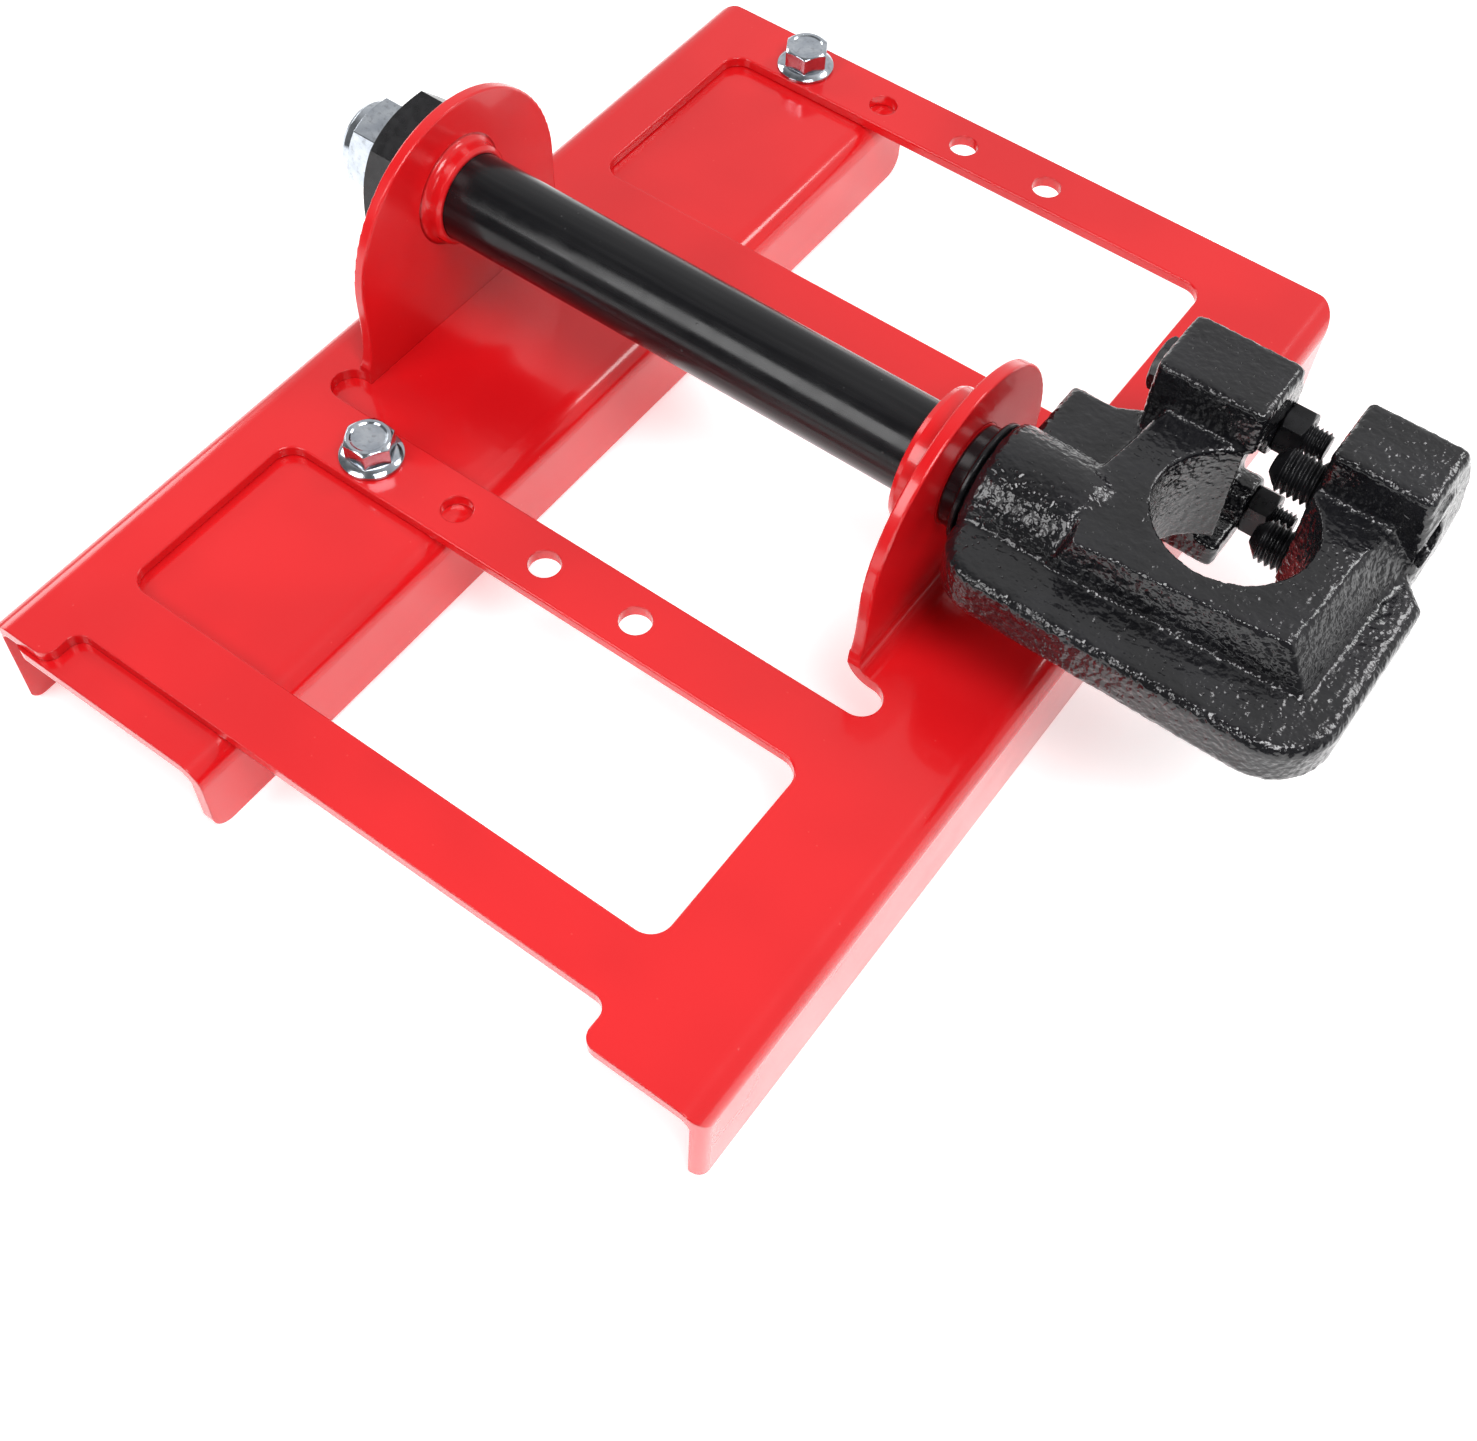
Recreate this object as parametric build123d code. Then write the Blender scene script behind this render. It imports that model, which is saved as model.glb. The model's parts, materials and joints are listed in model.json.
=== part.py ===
from build123d import *
import math
import os

# Lumber-cutting guide: a folded sheet bracket that rides on a timber rail, with a
# cast clamp that swings on a shaft and grips the bar of a saw.
# Millimetres. X runs from the lock nut to the clamp, Y along the rail, Z up.
# The origin is the bracket's plan centre at the foot of its side flanges.

# ---- sheet metal ----
SHEET = 3.5
HALF_WIDTH = 113.0
HALF_LENGTH = 157.5
WEB_TOP = 36.0
WEB_BOTTOM = WEB_TOP - SHEET
BEND_OUT = 7.0
BEND_IN = BEND_OUT - SHEET
FRONT_CORNER_R = 4.0
REAR_CORNER_R = 8.0
FLANGE_CORNER_R = 4.0
EDGE_ROUND = 0.6

# Front edge of the web, set back between two corner tabs
RECESS_Y = -146.5
RECESS_X = (-92.0, 78.5)
JOG_R = 4.0

# Windows in the web
WINDOW_X = (-93.5, 77.6)
WINDOWS_Y = ((-127.8, -68.2), (69.2, 137.7))
WINDOW_R = 6.0

# Width setting holes
HOLE_D = 9.0
HOLE_PITCH = 30.0
FIRST_HOLE_X = -72.0
HOLE_COUNT = 4
HOLE_ROWS_Y = (-58.5, 146.5)

# ---- ears that carry the shaft ----
AXIS_Y = 6.0
AXIS_Z = 73.0
EAR_CENTRE = (5.5, 60.0)
EAR_R = 40.0
EAR_FLARE = 2.5
FLARE_TOP_Z = 52.0
LEFT_EAR_X = -95.5
RIGHT_EAR_X = 68.5
RIGHT_BEND_IN = 5.0
RELIEF_FRONT_Y = (-48.5, -37.0)
RELIEF_FRONT_X = (-99.5, 83.0)
RELIEF_REAR_Y = (48.0, 51.0)

# ---- guide plate ----
GUIDE_Y = (-158.5, 156.5)
GUIDE_X = (-106.0, -39.6)
GUIDE_TOP = WEB_BOTTOM
GUIDE_BOTTOM = 5.5
GUIDE_CORNER_R = 6.0

# ---- shaft and what holds it ----
FIT = 0.05
SIDE_PLAY = 0.3
HEX_CORNER_R = 0.3
SHAFT_R = 12.5
BUSH_R = 14.0
LEFT_COLLAR_R = 14.8
LEFT_COLLAR_LENGTH = 5.0
RIGHT_RING_R = 19.0
RIGHT_RING_LENGTH = 8.0
SHOULDER_R = 13.7
SHOULDER_END_X = 76.5
WASHER_R = 16.5
WASHER_THICKNESS = 1.6
JAM_AF = 38.1
JAM_HEIGHT = 14.0
JAM_TURN = 45.0
STUD_R = 8.0
LOCK_AF = 24.0
LOCK_HEX_HEIGHT = 12.0
LOCK_HEIGHT = 16.0
LOCK_TURN = 20.0
INSERT_R = 10.0
INSERT_HEIGHT = 2.6
STUD_OVERRUN = 1.7

# ---- cast clamp ----
CAST_X = 78.6
HUB_R = 18.0
HUB_END_X = 112.0
SHAFT_SOCKET_X = 105.0
SLAB_Z = (65.0, 79.0)
SLAB_FRONT_Y = -26.0
SLAB_RIGHT_X = 181.5
SLAB_FRONT_LEFT_R = 13.0
SLAB_FRONT_RIGHT_R = 17.0
SLAB_ROUND = 3.0
LUG_TOP = 102.0
LUG_Y = (40.0, 61.0)
LUG_FAR_Y = 68.0
LUG_TOP_DRAFT = 13.0
LUG_BOTTOM_DRAFT = 4.0
LEFT_LUG_X = (99.5, 129.5)
LEFT_LUG_BOTTOM = 44.0
RIGHT_LUG_X = (146.0, 172.4)
RIGHT_LUG_FOOT_X = 175.5
RIGHT_LUG_BOTTOM = 39.0
HOLE_CENTRE = (134.8, 21.0)
HOLE_R = 20.0
CAST_ROUND = 2.0

# Relief in the left lug's slot face, round the bosses of the two bolts
RELIEF_FLOOR_X = 122.5
RELIEF_Z = (52.0, 89.0)
BOLT_BOSS_R = 8.2

# Raised pad round the set screws on the outer face of the right lug
PAD_Y = (41.5, 57.5)
PAD_Z = (50.0, 98.0)
PAD_X = (165.0, 174.2)

# Raised tier round the bar hole: plan at its foot and at its crown, corner by corner
TIER_FOOT_Z = 5.5
TIER_HALF = 16.5
TIER_FOOT = (
    (104.0, -11.5), (171.0, -8.5), (172.5, 30.0), (174.5, 42.0), (103.5, 42.0),
    (101.0, 36.5), (100.0, 28.0), (98.0, 14.0), (98.5, 6.0),
)
TIER_CROWN = (
    (108.1, -9.5), (162.3, -4.4), (164.4, 29.8), (166.7, 42.0), (107.0, 42.0),
    (104.8, 36.2), (104.1, 27.9), (102.1, 13.9), (103.2, 6.3),
)

# ---- clamp fasteners: (y, z) of the axes ----
CLAMP_BOLTS = {"upper": (59.5, 82.6), "lower": (59.5, 51.0)}
SET_SCREWS = {"upper": (46.5, 83.6), "lower": (46.5, 57.6)}
SET_SCREW_TIP_X = {"upper": 133.3, "lower": 135.5}
M8_R = 4.0
M8_AF = 12.7
M8_HEAD = 5.3
M8_NUT = 6.6
CLAMP_BOLT_LENGTH = 42.2
CLAMP_HEX_TURN = 45.0
M12_R = 6.0
SET_SCREW_LENGTH = 38.5
SET_SCREW_POINT_R = 2.6
SET_SCREW_SOCKET = 6.0
SET_SCREW_SOCKET_DEPTH = 7.0

# ---- width bolts ----
FLANGE_R = 8.95
FLANGE_RIM = 1.2
FLANGE_HEAD = 8.0
WIDTH_BOLT_LENGTH = 22.0

# ---- grub screw under the hub ----
GRUB_X = 91.0
GRUB_R = 4.0
GRUB_Z = (56.5, 62.0)


def turned(points):
    """Solid of revolution about Z, from (radius, height) pairs."""
    return revolve(Plane.XZ * make_face(Polyline(*points, close=True)), Axis.Z)


def along_x(shape, x, y, z):
    """Stand a shape built along +Z on a point, pointing along +X."""
    return Pos(x, y, z) * Rot(0, 90, 0) * shape


def against_x(shape, x, y, z):
    """Stand a shape built along +Z on a point, pointing along -X."""
    return Pos(x, y, z) * Rot(0, -90, 0) * shape


def rod_x(x_from, x_to, radius, y, z):
    """Round bar parallel to X."""
    return along_x(turned(bar_points(radius, x_to - x_from)), x_from, y, z)


def bar_points(radius, height, chamfer_size=0.0):
    """Half section of a round bar, with a chamfer at both ends if one is given."""
    if chamfer_size == 0:
        return [(0, 0), (radius, 0), (radius, height), (0, height)]
    inner = radius - chamfer_size
    return [
        (0, 0),
        (inner, 0),
        (radius, chamfer_size),
        (radius, height - chamfer_size),
        (inner, height),
        (0, height),
    ]


def hexagon(across_flats, height):
    """Hexagonal bar on Z = 0: corners rounded, ends turned off at 30 degrees."""
    corner_r = across_flats / math.sqrt(3)
    face_r = across_flats * 0.48
    rise = (corner_r - face_r) * math.tan(math.radians(30))
    outline = RegularPolygon(corner_r, 6)
    bar = extrude(fillet(outline.vertices(), HEX_CORNER_R), height)
    envelope = turned([
        (0, 0),
        (face_r, 0),
        (corner_r, rise),
        (corner_r, height - rise),
        (face_r, height),
        (0, height),
    ])
    return bar & envelope


def hex_nut(across_flats, height, bore_r):
    """Plain hexagonal nut on Z = 0 with a countersunk bore."""
    lead = bore_r * 0.12
    bore = turned([
        (0, 0),
        (bore_r + lead, 0),
        (bore_r, lead),
        (bore_r, height - lead),
        (bore_r + lead, height),
        (0, height),
    ])
    return hexagon(across_flats, height) - bore


def plan_box(x_range, y_range, z_range, corner_r=0.0):
    """Upright block between two limits on each axis, its upright edges rounded."""
    width = x_range[1] - x_range[0]
    depth = y_range[1] - y_range[0]
    outline = RectangleRounded(width, depth, corner_r) if corner_r else Rectangle(width, depth)
    centre = Pos(sum(x_range) / 2, sum(y_range) / 2, z_range[0])
    return centre * extrude(outline, z_range[1] - z_range[0])


# ---------------------------------------------------------------- bracket

def channel(x_range, bottom, top, y_range):
    """Folded channel open downwards, with both folds at the top."""
    width = x_range[1] - x_range[0]
    height = top - bottom
    outer = Pos(0, height / 2) * Rectangle(width, height)
    outer = fillet(outer.vertices().group_by(Axis.Y)[-1], BEND_OUT)
    inner = Pos(0, (height - SHEET) / 2) * Rectangle(width - 2 * SHEET, height - SHEET)
    inner = fillet(inner.vertices().group_by(Axis.Y)[-1], BEND_IN)
    section = Plane.XZ * (outer - inner)
    solid = extrude(section, -(y_range[1] - y_range[0]))
    return Pos(sum(x_range) / 2, y_range[0], bottom) * solid


def bracket_outline():
    """Plan of the bracket: rounded corners and the set-back front edge."""
    outline = make_face(Polyline(
        (-HALF_WIDTH, -HALF_LENGTH),
        (RECESS_X[0], -HALF_LENGTH),
        (RECESS_X[0], RECESS_Y),
        (RECESS_X[1], RECESS_Y),
        (RECESS_X[1], -HALF_LENGTH),
        (HALF_WIDTH, -HALF_LENGTH),
        (HALF_WIDTH, HALF_LENGTH),
        (-HALF_WIDTH, HALF_LENGTH),
        close=True,
    ))
    rear = outline.vertices().group_by(Axis.Y)[-1]
    outline = fillet(rear, REAR_CORNER_R)
    jogs = outline.vertices().filter_by(lambda v: abs(v.X) < HALF_WIDTH - 1 and v.Y < 0)
    outline = fillet(jogs, JOG_R)
    front = outline.vertices().filter_by(lambda v: abs(v.X) > HALF_WIDTH - 1 and v.Y < 0)
    return fillet(front.group_by(Axis.Y)[0], FRONT_CORNER_R)


def flange_corner_cutters(x_range, y_range, bottom, radius):
    """What is cut away to round the two lower corners of a side flange."""
    cutters = []
    for y, inward in ((y_range[0], 1), (y_range[1], -1)):
        block = plan_box(x_range, sorted((y, y + inward * radius)), (bottom, bottom + radius))
        keep = rod_x(x_range[0], x_range[1], radius, y + inward * radius, bottom + radius)
        cutters.append(block - keep)
    return cutters


def ear_blank():
    """Outline of an ear in the YZ plane: round top, sides flared to the web."""
    centre_y, centre_z = EAR_CENTRE
    near = centre_y - EAR_R
    far = centre_y + EAR_R
    foot_z = WEB_BOTTOM
    elbow_z = WEB_TOP + 2
    outline = [
        Line((near - EAR_FLARE, foot_z), (near - EAR_FLARE, elbow_z)),
        Bezier((near - EAR_FLARE, elbow_z), (near, elbow_z + 3), (near, FLARE_TOP_Z)),
        Line((near, FLARE_TOP_Z), (near, centre_z)),
        ThreePointArc((near, centre_z), (centre_y, centre_z + EAR_R), (far, centre_z)),
        Line((far, centre_z), (far, FLARE_TOP_Z)),
        Bezier((far, FLARE_TOP_Z), (far, elbow_z + 3), (far + EAR_FLARE, elbow_z)),
        Line((far + EAR_FLARE, elbow_z), (far + EAR_FLARE, foot_z)),
        Line((far + EAR_FLARE, foot_z), (near - EAR_FLARE, foot_z)),
    ]
    return make_face(outline)


def ear(x):
    """Upright ear, its faces at x and x + SHEET, bored for its bush."""
    plate = extrude(Plane.YZ.offset(x) * ear_blank(), SHEET)
    rims = plate.edges().filter_by(lambda e: e.center().Z > WEB_TOP + 4 and e.length > 5)
    plate = fillet(rims, EDGE_ROUND)
    return plate - rod_x(x - 1, x + SHEET + 1, BUSH_R, AXIS_Y, AXIS_Z)


def right_ear():
    """Right ear with the quarter-round fold that joins it to the web."""
    centre_x = RIGHT_EAR_X + SHEET + RIGHT_BEND_IN
    centre_z = WEB_TOP + RIGHT_BEND_IN
    size = RIGHT_BEND_IN + SHEET
    ring = Circle(size) - Circle(RIGHT_BEND_IN)
    quarter = ring & (Pos(-size / 2, -size / 2) * Rectangle(size, size))
    fold = Pos(centre_x, HALF_LENGTH, centre_z) * extrude(Plane.XZ * quarter, 2 * HALF_LENGTH)
    fold &= extrude(Plane.YZ.offset(RIGHT_EAR_X - 1) * ear_blank(), centre_x - RIGHT_EAR_X + 2)
    below = plan_box((RIGHT_EAR_X - 1, centre_x), (-HALF_LENGTH, HALF_LENGTH), (0, centre_z))
    return ear(RIGHT_EAR_X) - below + fold


def main_bracket():
    """Folded bracket: web, two side flanges and the two ears, in one sheet."""
    y_range = (-HALF_LENGTH, HALF_LENGTH)
    body = channel((-HALF_WIDTH, HALF_WIDTH), 0, WEB_TOP, y_range)
    body = body & extrude(bracket_outline(), WEB_TOP + 1)
    for x_range in ((-HALF_WIDTH, -HALF_WIDTH + SHEET), (HALF_WIDTH - SHEET, HALF_WIDTH)):
        for cutter in flange_corner_cutters(x_range, y_range, 0, FLANGE_CORNER_R):
            body -= cutter
    through = (WEB_BOTTOM - 1, WEB_TOP + 1)
    for window_y in WINDOWS_Y:
        body -= plan_box(WINDOW_X, window_y, through, WINDOW_R)
    fold_x = RIGHT_EAR_X + SHEET + RIGHT_BEND_IN
    left_face = LEFT_EAR_X + SHEET
    body -= plan_box((left_face, fold_x), (RELIEF_FRONT_Y[0], RELIEF_REAR_Y[1]), through)
    front_r = (RELIEF_FRONT_Y[1] - RELIEF_FRONT_Y[0]) / 2 - 0.01
    body -= plan_box(RELIEF_FRONT_X, RELIEF_FRONT_Y, through, front_r)
    rear_r = (RELIEF_REAR_Y[1] - RELIEF_REAR_Y[0]) / 2 - 0.01
    body -= plan_box((LEFT_EAR_X - 1.5, fold_x + 1.5), RELIEF_REAR_Y, through, rear_r)
    for y in HOLE_ROWS_Y:
        for index in range(HOLE_COUNT):
            x = FIRST_HOLE_X + index * HOLE_PITCH
            body -= Pos(x, y, WEB_TOP) * Cylinder(HOLE_D / 2, 3 * SHEET)
    body = soften_rims(body)
    return body + ear(LEFT_EAR_X) + right_ear()


def in_window(point):
    """Whether a point of the web lies on the rim of a window."""
    for near, far in WINDOWS_Y:
        if near - 0.1 < point.Y < far + 0.1 and WINDOW_X[0] - 0.1 < point.X < WINDOW_X[1] + 0.1:
            return True
    return False


def soften_rims(body):
    """Round the rims of the windows and the feet of the side flanges."""
    flats = body.edges().filter_by(lambda e: abs(e.center().Z - WEB_TOP) < 0.01)
    flats += body.edges().filter_by(lambda e: abs(e.center().Z - WEB_BOTTOM) < 0.01)
    rims = flats.filter_by(lambda e: in_window(e.center()))
    feet = body.edges().group_by(Axis.Z)[0].filter_by(lambda e: e.length > HALF_LENGTH)
    return fillet(rims + feet, EDGE_ROUND)


def guide_plate():
    """Angle plate bolted under the web; its flange is the adjustable side of the rail."""
    x_from, x_to = GUIDE_X
    height = GUIDE_TOP - GUIDE_BOTTOM
    width = x_to - x_from
    outer = Pos(width / 2, height / 2) * Rectangle(width, height)
    outer = fillet(outer.vertices().sort_by(lambda v: v.X + v.Y)[-1], BEND_OUT)
    inner = Pos((width - SHEET) / 2, (height - SHEET) / 2) * Rectangle(width - SHEET, height - SHEET)
    inner = fillet(inner.vertices().sort_by(lambda v: v.X + v.Y)[-1], BEND_IN)
    length = GUIDE_Y[1] - GUIDE_Y[0]
    plate = Pos(x_from, GUIDE_Y[0], GUIDE_BOTTOM) * extrude(Plane.XZ * (outer - inner), -length)
    open_corners = plate.edges().filter_by(Axis.Z).group_by(Axis.X)[0]
    plate = fillet(open_corners, GUIDE_CORNER_R)
    for cutter in flange_corner_cutters((x_to - SHEET, x_to), GUIDE_Y, GUIDE_BOTTOM, GUIDE_CORNER_R):
        plate -= cutter
    for y in HOLE_ROWS_Y:
        plate -= Pos(FIRST_HOLE_X, y, GUIDE_TOP) * Cylinder(HOLE_D / 2, 3 * SHEET)
    return plate


# ---------------------------------------------------------------- shaft

def left_bush():
    """Bush in the left ear, with a low collar on the inner face."""
    bore_r = SHAFT_R + FIT
    tip = SHEET + LEFT_COLLAR_LENGTH
    points = [
        (bore_r, 0),
        (BUSH_R, 0),
        (BUSH_R, SHEET),
        (LEFT_COLLAR_R, SHEET),
        (LEFT_COLLAR_R - 0.6, SHEET + 1.5),
        (LEFT_COLLAR_R - 0.8, tip - 1.2),
        (LEFT_COLLAR_R - 1.5, tip),
        (bore_r, tip),
    ]
    return along_x(turned(points), LEFT_EAR_X, AXIS_Y, AXIS_Z)


def right_bush():
    """Bush in the right ear, with a wide ring on the inner face."""
    bore_r = SHAFT_R + FIT
    tip = SHEET + RIGHT_RING_LENGTH
    points = [
        (bore_r, 0),
        (BUSH_R, 0),
        (BUSH_R, SHEET),
        (RIGHT_RING_R, SHEET),
        (RIGHT_RING_R, tip - 2),
        (RIGHT_RING_R - 0.6, tip - 0.6),
        (RIGHT_RING_R - 2, tip),
        (bore_r, tip),
    ]
    return against_x(turned(points), RIGHT_EAR_X + SHEET, AXIS_Y, AXIS_Z)


JAM_X = LEFT_EAR_X - SIDE_PLAY - JAM_HEIGHT
LOCK_X = JAM_X - LOCK_HEIGHT
STUD_END_X = LOCK_X - STUD_OVERRUN


def pivot_shaft():
    """Stepped shaft: threaded stud, jam-nut thread, journal, shoulder, socket end."""
    stud_length = JAM_X - STUD_END_X
    shoulder_x = RIGHT_EAR_X + SHEET + SIDE_PLAY
    stud = along_x(turned(bar_points(STUD_R, stud_length + 2, 1.2)), STUD_END_X, AXIS_Y, AXIS_Z)
    journal_length = SHAFT_SOCKET_X - JAM_X
    journal = along_x(turned(bar_points(SHAFT_R, journal_length, 1.0)), JAM_X, AXIS_Y, AXIS_Z)
    shoulder = rod_x(shoulder_x, SHOULDER_END_X, SHOULDER_R, AXIS_Y, AXIS_Z)
    dimple_top = GRUB_Z[1] + FIT
    dimple_foot = AXIS_Z - SHAFT_R - 2
    dimple = Pos(GRUB_X, AXIS_Y, dimple_foot) * turned(bar_points(GRUB_R + FIT, dimple_top - dimple_foot))
    return stud + journal + shoulder - dimple


def thrust_washer():
    """Washer between the shaft's shoulder and the cast hub."""
    bore_r = SHAFT_R + FIT
    points = [
        (bore_r, 0),
        (WASHER_R - 0.4, 0),
        (WASHER_R, 0.4),
        (WASHER_R, WASHER_THICKNESS - 0.4),
        (WASHER_R - 0.4, WASHER_THICKNESS),
        (bore_r, WASHER_THICKNESS),
    ]
    return along_x(turned(points), SHOULDER_END_X, AXIS_Y, AXIS_Z)


def pivot_jam_nut():
    """Wide thin nut against the left ear; it takes up the shaft's side play."""
    nut = Rot(0, 0, JAM_TURN) * hex_nut(JAM_AF, JAM_HEIGHT, SHAFT_R + FIT)
    return along_x(nut, JAM_X, AXIS_Y, AXIS_Z)


def pivot_lock_nut():
    """Self-locking nut: hexagon, rolled collar and the groove for its insert."""
    collar_r = LOCK_AF * 0.46
    collar = turned([
        (STUD_R + FIT, LOCK_HEX_HEIGHT - 1),
        (collar_r, LOCK_HEX_HEIGHT - 1),
        (collar_r, LOCK_HEIGHT - 1.6),
        (collar_r - 0.6, LOCK_HEIGHT - 0.5),
        (collar_r - 1.8, LOCK_HEIGHT),
        (STUD_R + FIT, LOCK_HEIGHT),
    ])
    nut = hex_nut(LOCK_AF, LOCK_HEX_HEIGHT, STUD_R + FIT) + collar
    groove_z = LOCK_HEIGHT - 0.8 - INSERT_HEIGHT
    nut -= Pos(0, 0, groove_z) * turned(bar_points(INSERT_R, LOCK_HEIGHT - groove_z))
    return against_x(Rot(0, 0, LOCK_TURN) * nut, JAM_X, AXIS_Y, AXIS_Z)


def lock_nut_insert():
    """Nylon ring held in the lock nut's groove."""
    groove_z = LOCK_HEIGHT - 0.8 - INSERT_HEIGHT
    ring = turned([
        (STUD_R + FIT, groove_z),
        (INSERT_R - 0.02, groove_z),
        (INSERT_R - 0.02, groove_z + INSERT_HEIGHT),
        (STUD_R + FIT, groove_z + INSERT_HEIGHT),
    ])
    return against_x(ring, JAM_X, AXIS_Y, AXIS_Z)


# ---------------------------------------------------------------- cast clamp

def slab():
    """Flat middle plate of the casting, with wide corner radii at the front."""
    left = CAST_X + 1
    lug_left = LEFT_LUG_X[0]
    inside_lugs = LUG_Y[0] + 12
    outline = make_face(Polyline(
        (left, SLAB_FRONT_Y),
        (SLAB_RIGHT_X, SLAB_FRONT_Y),
        (SLAB_RIGHT_X, LUG_Y[0] - 7),
        (RIGHT_LUG_FOOT_X - 0.5, LUG_Y[0] - 0.5),
        (RIGHT_LUG_FOOT_X - 0.5, inside_lugs),
        (lug_left, inside_lugs),
        (lug_left - 1, LUG_Y[0] + 8),
        (lug_left - 8, LUG_Y[0] + 4),
        (left, LUG_Y[0] + 4),
        close=True,
    ))
    front_left = outline.vertices().sort_by(lambda v: v.X + v.Y)[0]
    outline = fillet(front_left, SLAB_FRONT_LEFT_R)
    front_right = outline.vertices().sort_by(lambda v: v.X - v.Y)[-1]
    outline = fillet(front_right, SLAB_FRONT_RIGHT_R)
    plate = Pos(0, 0, SLAB_Z[0]) * extrude(outline, SLAB_Z[1] - SLAB_Z[0])
    rims = plate.edges().group_by(Axis.Z)
    return fillet(rims[-1] + rims[0], SLAB_ROUND)


def tier_half():
    """Raised half of the casting round the bar hole: a drafted block above the slab."""
    foot = make_face(Polyline(*TIER_FOOT, close=True))
    crown = make_face(Polyline(*TIER_CROWN, close=True))
    block = loft([Pos(0, 0, TIER_FOOT_Z) * foot, Pos(0, 0, TIER_HALF) * crown], ruled=True)
    return block + extrude(foot, TIER_FOOT_Z)


def hub():
    """Round boss that receives the shaft, blended down into the tier."""
    length = HUB_END_X - CAST_X
    barrel = turned([
        (0, 0),
        (HUB_R - 2.2, 0),
        (HUB_R - 0.6, 0.7),
        (HUB_R, 2.4),
        (HUB_R, length - 8),
        (HUB_R - 1.5, length - 3),
        (HUB_R - 5, length),
        (0, length),
    ])
    return along_x(barrel, CAST_X, AXIS_Y, AXIS_Z)


def lug_side(bottom):
    """Side view of a lug, in Y and Z, leaning outwards on its far side."""
    near, far = LUG_Y
    return make_face(Polyline(
        (near, bottom),
        (near, LUG_TOP),
        (far, LUG_TOP),
        (LUG_FAR_Y, LUG_TOP - LUG_TOP_DRAFT),
        (LUG_FAR_Y, bottom + LUG_BOTTOM_DRAFT),
        (LUG_FAR_Y - 2, bottom),
        close=True,
    ))


def left_lug():
    """Lug that carries the clamp bolts, relieved round their bosses."""
    width = LEFT_LUG_X[1] - LEFT_LUG_X[0]
    block = extrude(Plane.YZ.offset(LEFT_LUG_X[0]) * lug_side(LEFT_LUG_BOTTOM), width)
    block = fillet(block.edges(), CAST_ROUND)
    relief = plan_box((RELIEF_FLOOR_X, LEFT_LUG_X[1] + 1), (LUG_Y[0], LUG_FAR_Y + 1), RELIEF_Z)
    for y, z in CLAMP_BOLTS.values():
        relief -= rod_x(RELIEF_FLOOR_X - 1, LEFT_LUG_X[1] + 2, BOLT_BOSS_R, y, z)
    return block, relief


def right_lug():
    """Lug that carries the set screws; its outer face leans out towards the slab."""
    left, right = RIGHT_LUG_X
    bottom = RIGHT_LUG_BOTTOM
    front = make_face(Polyline(
        (left, bottom),
        (right, bottom),
        (RIGHT_LUG_FOOT_X, SLAB_Z[0]),
        (RIGHT_LUG_FOOT_X, SLAB_Z[1]),
        (right, LUG_TOP),
        (left, LUG_TOP),
        close=True,
    ))
    block = extrude(Plane.XZ * front, -2 * LUG_FAR_Y)
    block &= extrude(Plane.YZ.offset(left) * lug_side(bottom), RIGHT_LUG_FOOT_X - left)
    block = fillet(block.edges(), CAST_ROUND)
    pad_r = (PAD_Y[1] - PAD_Y[0]) / 2
    outline = SlotOverall(PAD_Z[1] - PAD_Z[0], 2 * pad_r, rotation=90)
    pad = extrude(outline, PAD_X[1] - PAD_X[0], taper=6)
    pad = Pos(PAD_X[0], sum(PAD_Y) / 2, sum(PAD_Z) / 2) * (Rot(0, 90, 0) * (Rot(0, 0, 90) * pad))
    return block + pad


def clamp_body():
    """Cast clamp with its bores, bar hole and the slot that takes the saw bar."""
    upper = tier_half()
    lower = mirror(upper, about=Plane.XY)
    bolt_lug, relief = left_lug()
    body = slab() + Pos(0, 0, AXIS_Z) * upper + Pos(0, 0, AXIS_Z) * lower + hub()
    body = body + bolt_lug + right_lug()
    bottom = RIGHT_LUG_BOTTOM - 1
    height = LUG_TOP - bottom + 1
    body -= Pos(HOLE_CENTRE[0], HOLE_CENTRE[1], bottom) * extrude(Circle(HOLE_R), height)
    slot_x = (LEFT_LUG_X[1], RIGHT_LUG_X[0])
    body -= plan_box(slot_x, (HOLE_CENTRE[1], LUG_FAR_Y + 1), (bottom, bottom + height))
    body -= relief
    body -= rod_x(CAST_X - 1, SHAFT_SOCKET_X + 0.5, SHAFT_R + FIT, AXIS_Y, AXIS_Z)
    for y, z in CLAMP_BOLTS.values():
        body -= rod_x(LEFT_LUG_X[0] - 1, LEFT_LUG_X[1] + 1, M8_R + FIT, y, z)
    for y, z in SET_SCREWS.values():
        body -= rod_x(RIGHT_LUG_X[0] - 1, SLAB_RIGHT_X + 1, M12_R + FIT, y, z)
    grub_foot = AXIS_Z - HUB_R - 2
    grub_hole = turned(bar_points(GRUB_R + FIT, AXIS_Z - grub_foot))
    return body - Pos(GRUB_X, AXIS_Y, grub_foot) * grub_hole


# ---------------------------------------------------------------- fasteners

def clamp_bolt(y, z):
    """Hexagon bolt through the left lug, head outside, end in the slot."""
    shank = Pos(0, 0, -CLAMP_BOLT_LENGTH) * turned(bar_points(M8_R, CLAMP_BOLT_LENGTH + 1, 0.8))
    head = Rot(0, 0, CLAMP_HEX_TURN) * hexagon(M8_AF, M8_HEAD)
    return against_x(head + shank, LEFT_LUG_X[0], y, z)


def clamp_jam_nut(y, z):
    """Nut that locks a clamp bolt against the slot face of the left lug."""
    nut = Rot(0, 0, CLAMP_HEX_TURN) * hex_nut(M8_AF, M8_NUT, M8_R + FIT)
    return along_x(nut, LEFT_LUG_X[1], y, z)


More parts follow.
